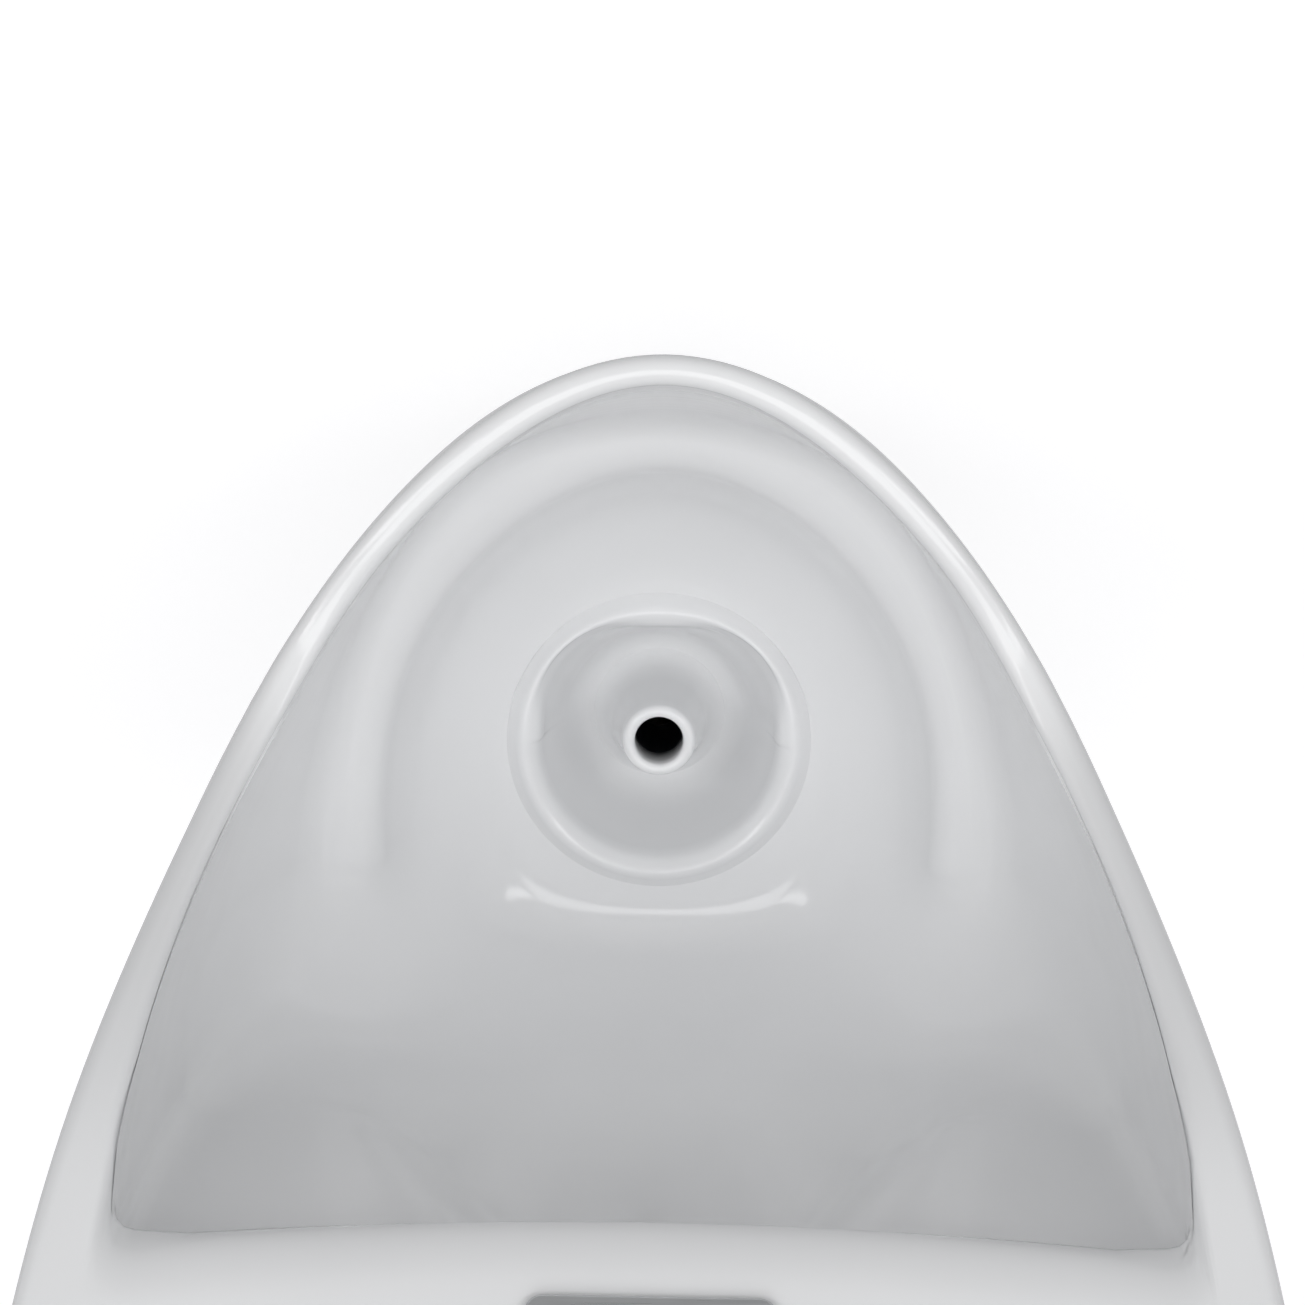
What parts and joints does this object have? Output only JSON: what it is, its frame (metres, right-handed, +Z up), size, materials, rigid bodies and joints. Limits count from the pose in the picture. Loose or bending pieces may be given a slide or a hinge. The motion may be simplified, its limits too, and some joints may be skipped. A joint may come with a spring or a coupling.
{
  "type": "floor-standing urinal",
  "caption": "One-piece white floor-standing urinal: pointed bowl with open drain well, raised side wings, sloping hood with a flush sensor plate and fittings inside the open back",
  "frame": {"origin": "middle of the floor rectangle under the object, at floor level", "axes": "+Z up, +Y towards the wall behind it, +X to the user's right as they face it"},
  "size_m": [0.3752, 0.3635, 0.95],
  "materials": {
    "china": "white glaze, high gloss",
    "satin_steel": "fine brushed",
    "black_rubber": "matte",
    "bright_steel": "bright",
    "smoked_lens": "smoked, polished",
    "grey_plastic": "moulded",
    "board_green": "solder mask",
    "clear_lens": "tinted clear",
    "black_plastic": "moulded",
    "cell_wrap": "plain wrap",
    "lead_black": "soft",
    "nickel_brass": "nickel plated",
    "raw_brass": "machined",
    "lever_red": "powder coat",
    "core_steel": "ground",
    "chromed_tube": "drawn tube",
    "bright_chrome": "polished",
    "waste_grey": "extruded",
    "zinc_steel": "zinc plated",
    "white_plastic": "moulded"
  },
  "bodies": {
    "fixture": {"urinal_body": "china", "sensor_plate": "satin_steel", "plate_gasket": "black_rubber", "plate_screws": "bright_steel", "sensor_window": "smoked_lens", "sensor_housing": "grey_plastic", "circuit_board": "board_green", "infrared_diodes": "clear_lens", "battery_case": "black_plastic", "battery_lid": "black_plastic", "battery_cells": "cell_wrap", "battery_lead": "lead_black", "coil_lead": "lead_black", "stop_valve_body": "nickel_brass", "gland_nut": "nickel_brass", "valve_body": "raw_brass", "valve_diaphragm": "black_rubber", "valve_bonnet": "raw_brass", "bonnet_screws": "bright_steel", "plunger_spring": "bright_steel", "solenoid_coil": "black_plastic", "coil_nut": "nickel_brass", "inlet_strainer": "core_steel", "inlet_pipe": "chromed_tube", "flush_pipe": "chromed_tube", "union_nuts": "nickel_brass", "spreader_nozzle": "bright_chrome", "nozzle_seal": "black_rubber", "nozzle_nut": "nickel_brass", "outlet_seal": "black_rubber", "waste_elbow": "waste_grey", "elbow_seal": "black_rubber", "waste_pipe": "waste_grey", "wall_brackets": "zinc_steel", "bracket_washers": "black_rubber", "bracket_bolts": "zinc_steel", "bracket_nuts": "zinc_steel", "floor_blocks": "white_plastic", "side_screws": "zinc_steel", "screw_caps": "bright_chrome"},
    "stop_tap": {"stop_valve_plug": "raw_brass", "stop_valve_lever": "lever_red", "lever_screw": "bright_steel"},
    "core": {"solenoid_plunger": "core_steel"}
  },
  "joints": [
    {"name": "stop_tap_turn", "type": "hinge", "parent": "fixture", "child": "stop_tap", "pos_m": [0.095, 0.144, 0.62], "axis": [0, 1, 0], "range_deg": [0, 90]},
    {"name": "core_lift", "type": "slide", "parent": "fixture", "child": "core", "axis": [-1, 0, 0], "range_m": [0, 0.003], "stiffness_N_per_m": 400, "springref_m": -0.002, "deforming": ["plunger_spring"]}
  ]
}
